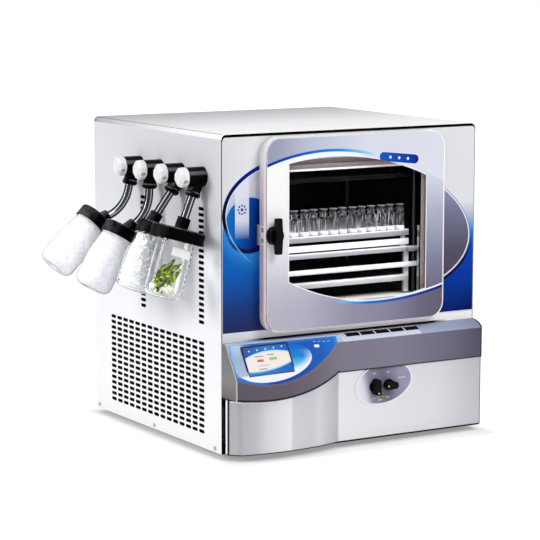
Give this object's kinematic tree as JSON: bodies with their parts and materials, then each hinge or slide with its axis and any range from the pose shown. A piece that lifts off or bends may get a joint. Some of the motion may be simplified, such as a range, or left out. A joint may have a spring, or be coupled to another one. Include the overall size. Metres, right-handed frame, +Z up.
{
  "type": "freeze dryer",
  "caption": "Benchtop stoppering freeze dryer with a glazed shelf chamber, a screen console and side ports carrying flasks.",
  "frame": {"origin": "under the middle of the whole machine, on the surface that it stands on", "axes": "+X to the right seen from the front, +Y to the back, +Z up"},
  "size_m": [0.9346, 0.727, 0.724],
  "materials": {
    "white_paint": "white textured powder coat",
    "printed_fascia": "white enamel with a blue printed field",
    "black_paint": "black paint",
    "console_grey": "grey-lavender moulding",
    "console_print": "blue printed film",
    "screen": "lit touch screen",
    "satin_steel": "satin stainless sheet",
    "plate_print": "lavender printed plate",
    "polished_steel": "polished stainless steel",
    "hinge_steel": "satin steel",
    "black_plastic": "black moulding",
    "brass": "plain brass",
    "black_rubber": "black rubber",
    "grey_rubber": "grey rubber",
    "white_plastic": "white moulding",
    "clear_acrylic": "clear acrylic",
    "door_film": "silver-lavender print",
    "clear_glass": "clear blown glass",
    "frosted_glass": "glass frosted by ice",
    "grey_paint": "grey paint",
    "compressor_black": "black enamel",
    "fins": "plain aluminium",
    "board": "green laminate"
  },
  "bodies": {
    "cabinet": {"adapter_tubes": "polished_steel", "base_pan": "black_paint", "cabinet_cover": "white_paint", "chamber_shell": "polished_steel", "collector_drum": "polished_steel", "compressors": "compressor_black", "condenser_coil": "fins", "console_housing": "console_grey", "console_overlay": "console_print", "control_board": "board", "control_valves": "brass", "door_gasket": "grey_rubber", "fan_shroud": "grey_paint", "feet": "black_rubber", "flange_screws": "hinge_steel", "flask_1": "clear_glass", "flask_2": "clear_glass", "flask_3": "frosted_glass", "flask_4": "frosted_glass", "flask_tops": "black_rubber", "front_fascia": "printed_fascia", "front_rail": "polished_steel", "gas_inlet_barb": "brass", "guide_rods": "polished_steel", "hinge_cabinet_leaves": "hinge_steel", "hinge_pins": "hinge_steel", "inner_frame": "grey_paint", "latch_keeper": "hinge_steel", "left_side_panel": "white_paint", "lower_front_panel": "satin_steel", "panel_screws": "hinge_steel", "port_manifold": "polished_steel", "port_valves": "black_rubber", "power_entry": "black_plastic", "press_plate": "black_paint", "rear_panel": "white_paint", "stoppering_cylinder": "grey_paint", "touch_screen": "screen", "vacuum_port": "polished_steel", "valve_plate": "plate_print"},
    "door": {"door_panel": "clear_acrylic", "door_print": "door_film", "hinge_door_leaves": "hinge_steel"},
    "door_handle": {"door_handle": "black_plastic", "latch_cam": "hinge_steel"},
    "stopper_knob": {"stopper_knob": "black_plastic"},
    "vent_knob": {"vent_knob": "black_plastic"},
    "shelf_rack": {"rack_frame": "polished_steel", "shelves": "polished_steel", "vials": "clear_glass", "vial_stoppers": "grey_rubber", "stoppering_ram": "polished_steel"},
    "fan": {"fan_rotor": "black_plastic"},
    "power_switch": {"power_rocker": "black_plastic"},
    "port_knob_1": {"port_knob_1": "white_plastic"},
    "port_knob_2": {"port_knob_2": "white_plastic"},
    "port_knob_3": {"port_knob_3": "white_plastic"},
    "port_knob_4": {"port_knob_4": "white_plastic"}
  },
  "joints": [
    {"name": "door_swing", "type": "hinge", "parent": "cabinet", "child": "door", "pos_m": [0.3598, -0.29497, 0.4975], "axis": [0, 0, 1], "range_deg": [0, 115]},
    {"name": "door_handle_turn", "type": "hinge", "parent": "door", "child": "door_handle", "pos_m": [-0.10569, -0.32047, 0.499], "axis": [0, 1, 0], "range_deg": [0, 90]},
    {"name": "stopper_knob_turn", "type": "hinge", "parent": "cabinet", "child": "stopper_knob", "pos_m": [0.16331, -0.31847, 0.134], "axis": [0, 1, 0], "range_deg": [0, 90]},
    {"name": "vent_knob_turn", "type": "hinge", "parent": "cabinet", "child": "vent_knob", "pos_m": [0.20231, -0.31847, 0.1345], "axis": [0, 1, 0], "range_deg": [0, 90]},
    {"name": "port_knob_1_turn", "type": "hinge", "parent": "cabinet", "child": "port_knob_1", "pos_m": [-0.2637, -0.20477, 0.6255], "axis": [1, 0, 0], "range_deg": [0, 180]},
    {"name": "port_knob_2_turn", "type": "hinge", "parent": "cabinet", "child": "port_knob_2", "pos_m": [-0.2637, -0.10527, 0.6255], "axis": [1, 0, 0], "range_deg": [0, 180]},
    {"name": "port_knob_3_turn", "type": "hinge", "parent": "cabinet", "child": "port_knob_3", "pos_m": [-0.2637, -0.00577, 0.6255], "axis": [1, 0, 0], "range_deg": [0, 180]},
    {"name": "port_knob_4_turn", "type": "hinge", "parent": "cabinet", "child": "port_knob_4", "pos_m": [-0.2637, 0.09373, 0.6255], "axis": [1, 0, 0], "range_deg": [0, 180]},
    {"name": "shelf_lift", "type": "slide", "parent": "cabinet", "child": "shelf_rack", "axis": [0, 0, 1], "range_m": [0, 0.0625]},
    {"name": "fan_spin", "type": "hinge", "parent": "cabinet", "child": "fan", "pos_m": [-0.17269, 0.02353, 0.122], "axis": [1, 0, 0], "continuous": true},
    {"name": "power_switch_rock", "type": "hinge", "parent": "cabinet", "child": "power_switch", "pos_m": [0.3508, 0.32553, 0.118], "axis": [1, 0, 0], "range_deg": [-14, 0]}
  ]
}
